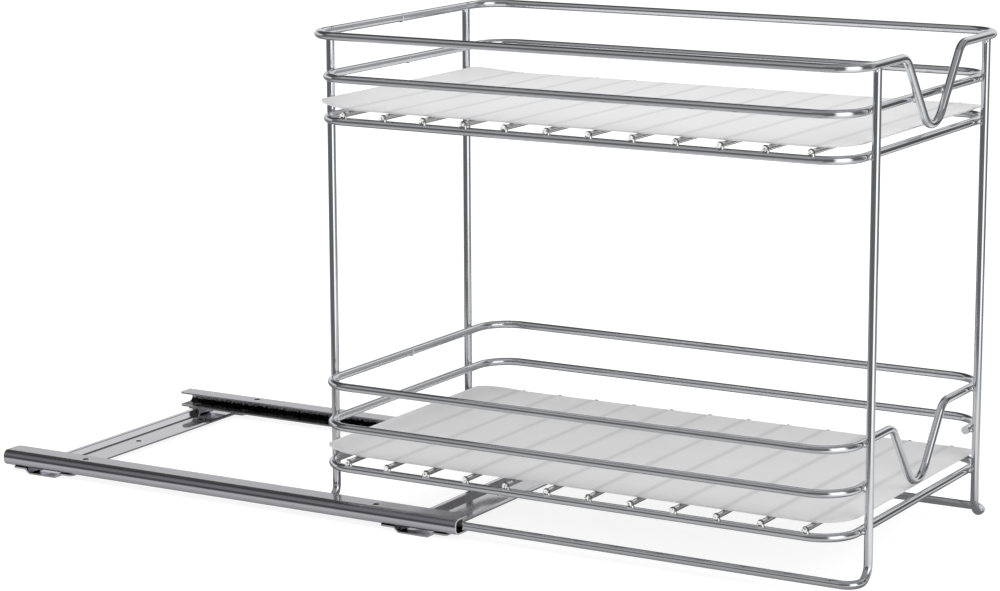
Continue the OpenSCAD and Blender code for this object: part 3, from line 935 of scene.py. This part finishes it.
def add_beads(name, kind, places, bead_size, variation, unevenness, seed):
    """Row of beads of a kind at the given places, as one piece of the basket. Sizes are in millimetres."""
    tree, material = kind
    mesh = bpy.data.meshes.new(name)
    mesh.from_pydata(places, [], [])
    piece = bpy.data.objects.new(name, mesh)
    bpy.context.scene.collection.objects.link(piece)
    modifier = piece.modifiers.new("beads", "NODES")
    modifier.node_group = tree
    modifier[socket_id(tree, "Bead Size")] = [length * MM for length in bead_size]
    modifier[socket_id(tree, "Variation")] = variation
    modifier[socket_id(tree, "Unevenness")] = unevenness * MM
    modifier[socket_id(tree, "Seed")] = seed
    bake(piece, material)
    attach(piece, BODY)


# ---------- places of the beads ----------


def middle_of_wire(node):
    """Height of a ring's level wire, whose top is the top of its box."""
    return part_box(node)[1].z - WIRE_R


def uprights():
    """Centre lines of the four uprights, each as x and y."""
    lines = []
    for side, outward in zip(SIDES, OUTWARD):
        low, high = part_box(side + "_side_frame")
        x = high.x - WIRE_R if outward < 0 else low.x + WIRE_R
        lines += [(x, low.y + WIRE_R), (x, high.y - WIRE_R)]
    return lines


def cross_wire_welds(tier):
    """Where each cross wire lies on its base ring."""
    low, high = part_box(tier + "_base_ring")
    inset = 0.8 * WIRE_R
    sink = 0.4 * MM
    return [(x, middle(name).y, high.z - sink)
            for name in CROSS_NODES[tier] for x in (low.x + inset, high.x - inset)]


def cross_wire_tips():
    """A little inside each end of every cross wire."""
    inset = 1.9 * MM
    places = []
    for tier in TIERS:
        for name in CROSS_NODES[tier]:
            low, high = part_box(name)
            places += [(x, middle(name).y, middle(name).z) for x in (low.x + inset, high.x - inset)]
    return places


def upright_welds():
    """Where a ring passes inside each upright."""
    centre_y = middle("lower_base_ring").y
    places = []
    for x, y in uprights():
        inward = math.copysign(WIRE_R, centre_y - y)
        places += [(x, y + inward, middle_of_wire(node)) for node in RING_NODES]
    return places


def rim_welds():
    """Where the uprights end under the upper rim."""
    drop = 0.6 * MM
    z = middle_of_wire("upper_top_rim") - WIRE_R - drop
    return [(x, y, z) for x, y in uprights()]


def free_ends():
    """Centres of the lower mid rail's two cut ends."""
    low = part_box("lower_mid_rail")[0]
    near = 0.05 * MM
    corners = [v.co for v in nodes["lower_mid_rail"].data.vertices if v.co.y < low.y + near]
    places = []
    for outward in OUTWARD:
        end = [co for co in corners if co.x * outward > 0]
        places.append(tuple(sum(end, Vector()) / len(end)))
    return places


def rim_marks():
    """Marks on the rim's inner shoulder, over the end of each upright."""
    low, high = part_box("upper_top_rim")
    centre_y = (low.y + high.y) / 2
    shoulder = 0.72 * WIRE_R
    return [(x, y + math.copysign(shoulder, centre_y - y), high.z - WIRE_R + shoulder) for x, y in uprights()]


def notch_welds():
    """Where the two legs of the upper notch touch the mid rail behind them."""
    z = middle_of_wire("upper_mid_rail")
    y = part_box("upper_top_rim")[0].y + WIRE_R
    places = []
    for outward in OUTWARD:
        inner_side = nodes["upper_top_rim"].ray_cast((0, y, z), (outward, 0, 0))[1]
        places.append((inner_side.x + outward * LEG_HALF_WIDTH, y + WIRE_R, z))
    return places


def ring_seams():
    """Where the two ends of each closed ring's wire are butt-welded, in the middle of its rear run."""
    sink = 0.35 * MM
    closed = [node for node in RING_NODES + ["upper_top_rim"] if node != "lower_mid_rail"]
    return [(0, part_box(node)[1].y - WIRE_R, middle_of_wire(node) - sink) for node in closed]


def add_welds():
    """All beads: name, kind, places, bead size, share by which it varies, unevenness and seed."""
    weld = weld_finish()
    shaded_burr = burr_with_painted_shade_finish()
    welds = (bead_tree("weld_beads", weld), weld)
    shaded_burrs = (bead_tree("wire_burrs", shaded_burr), shaded_burr)
    rows = [
        ("lower_cross_wire_welds", welds, cross_wire_welds("lower"), (2.1, 3.0, 3.2), 0.1, 0.6, 0),
        ("upper_cross_wire_welds", welds, cross_wire_welds("upper"), (2.1, 3.0, 3.2), 0.1, 0.6, 1),
        # The burrs' dark tone is painted shade round each sheared end
        ("cross_wire_tips", shaded_burrs, cross_wire_tips(), (1.9, 2.5, 2.5), 0.05, 0.1, 5),
        ("upright_welds", welds, upright_welds(), (4.9, 1.9, 2.4), 0.12, 1.4, 2),
        ("rim_welds", welds, rim_welds(), (4.0, 2.6, 1.6), 0.1, 0.6, 3),
        ("free_ends", welds, free_ends(), (3.2, 2.4, 3.2), 0.02, 0.1, 6),
        ("rim_marks", welds, rim_marks(), (1.6, 1.2, 0.5), 0.1, 0.2, 7),
        ("notch_welds", welds, notch_welds(), (3.9, 1.6, 3.2), 0.1, 0.8, 8),
        ("ring_seams", welds, ring_seams(), (1.5, 3.65, 3.3), 0.01, 0.1, 4),
    ]
    for row in rows:
        add_beads(*row)


# ---------- the whole scene ----------

add_camera()
add_studio()
dress_all()
add_welds()
bpy.context.scene.view_settings.view_transform = "Standard"
